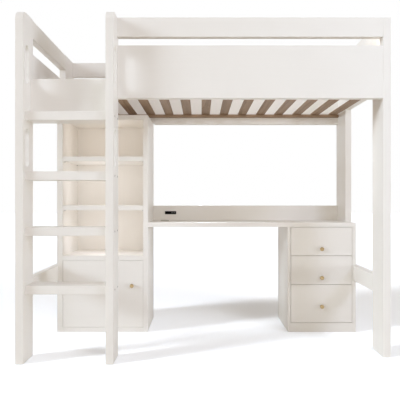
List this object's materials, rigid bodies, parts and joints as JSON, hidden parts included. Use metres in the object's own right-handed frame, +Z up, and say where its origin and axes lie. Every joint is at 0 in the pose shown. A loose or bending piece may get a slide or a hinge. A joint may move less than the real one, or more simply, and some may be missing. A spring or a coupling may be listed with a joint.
{
  "type": "loft bed with desk",
  "caption": "High white bed on tall board posts, with a ladder of flat treads, guard rails and slats above a desk, a cabinet with open cubbies and a door, and a drawer pedestal.",
  "frame": {"origin": "on the floor, under the middle of the whole object's box", "axes": "+X along the bed, away from the ladder; -Y towards the person at the desk; +Z up"},
  "size_m": [2, 1.112, 1.85],
  "materials": {
    "white_paint": "satin off-white paint on solid board",
    "back_board": "thin white-faced back board",
    "slat_wood": "bare pine, planed",
    "beech": "bare beech",
    "drawer_wood": "clear-lacquered birch",
    "dark_steel": "black zinc",
    "zinc_steel": "bright zinc",
    "yellow_zinc": "yellow zinc",
    "brass": "satin brass",
    "white_nylon": "moulded nylon",
    "black_plastic": "fine-textured moulding",
    "port_plastic": "moulded insert",
    "grey_plastic": "fine-textured moulding"
  },
  "bodies": {
    "bed_frame": {"left_front_post": "white_paint", "ladder_inner_post": "white_paint", "right_front_post": "white_paint", "left_back_post": "white_paint", "right_back_post": "white_paint", "left_end_guard_rail": "white_paint", "left_end_panel": "white_paint", "left_end_stretcher": "white_paint", "right_end_guard_rail": "white_paint", "right_end_panel": "white_paint", "right_end_stretcher": "white_paint", "front_guard_rail": "white_paint", "front_side_panel": "white_paint", "entry_panel": "white_paint", "back_guard_rail": "white_paint", "back_side_panel": "white_paint", "ladder_tread_1": "white_paint", "ladder_tread_2": "white_paint", "ladder_tread_3": "white_paint", "ladder_tread_4": "white_paint", "desk_top": "white_paint", "desk_back_rail": "white_paint", "cabinet_left_side": "white_paint", "cabinet_right_side": "white_paint", "cabinet_top": "white_paint", "cabinet_upper_shelf": "white_paint", "cabinet_middle_shelf": "white_paint", "cabinet_fixed_shelf": "white_paint", "cabinet_bottom": "white_paint", "pedestal_left_side": "white_paint", "pedestal_right_side": "white_paint", "pedestal_bottom": "white_paint", "pedestal_plinth": "white_paint", "cabinet_back": "back_board", "pedestal_back": "back_board", "slat_ledgers": "slat_wood", "bed_slats": "slat_wood", "dowels": "beech", "drawer_runners": "beech", "frame_bolts": "dark_steel", "barrel_nuts": "zinc_steel", "shelf_pins": "zinc_steel", "wood_screws": "yellow_zinc", "hinge_bushes": "white_nylon", "door_catch": "white_nylon", "power_module": "black_plastic", "usb_ports": "port_plastic", "cable_grommet": "grey_plastic"},
    "door": {"cabinet_door": "white_paint", "door_knob": "brass", "door_hinge_pins": "zinc_steel"},
    "top_drawer": {"top_drawer_front": "white_paint", "top_drawer_box": "drawer_wood", "top_drawer_knob": "brass"},
    "middle_drawer": {"middle_drawer_front": "white_paint", "middle_drawer_box": "drawer_wood", "middle_drawer_knob": "brass"},
    "bottom_drawer": {"bottom_drawer_front": "white_paint", "bottom_drawer_box": "drawer_wood", "bottom_drawer_knob": "brass"}
  },
  "joints": [
    {"name": "cabinet_door_hinge", "type": "hinge", "parent": "bed_frame", "child": "door", "pos_m": [-0.9158, 0.132, 0.2475], "axis": [0, 0, -1], "range_deg": [0, 90]},
    {"name": "top_drawer_slide", "type": "slide", "parent": "bed_frame", "child": "top_drawer", "axis": [0, -1, 0], "range_m": [0, 0.3]},
    {"name": "middle_drawer_slide", "type": "slide", "parent": "bed_frame", "child": "middle_drawer", "axis": [0, -1, 0], "range_m": [0, 0.3]},
    {"name": "bottom_drawer_slide", "type": "slide", "parent": "bed_frame", "child": "bottom_drawer", "axis": [0, -1, 0], "range_m": [0, 0.3]}
  ]
}
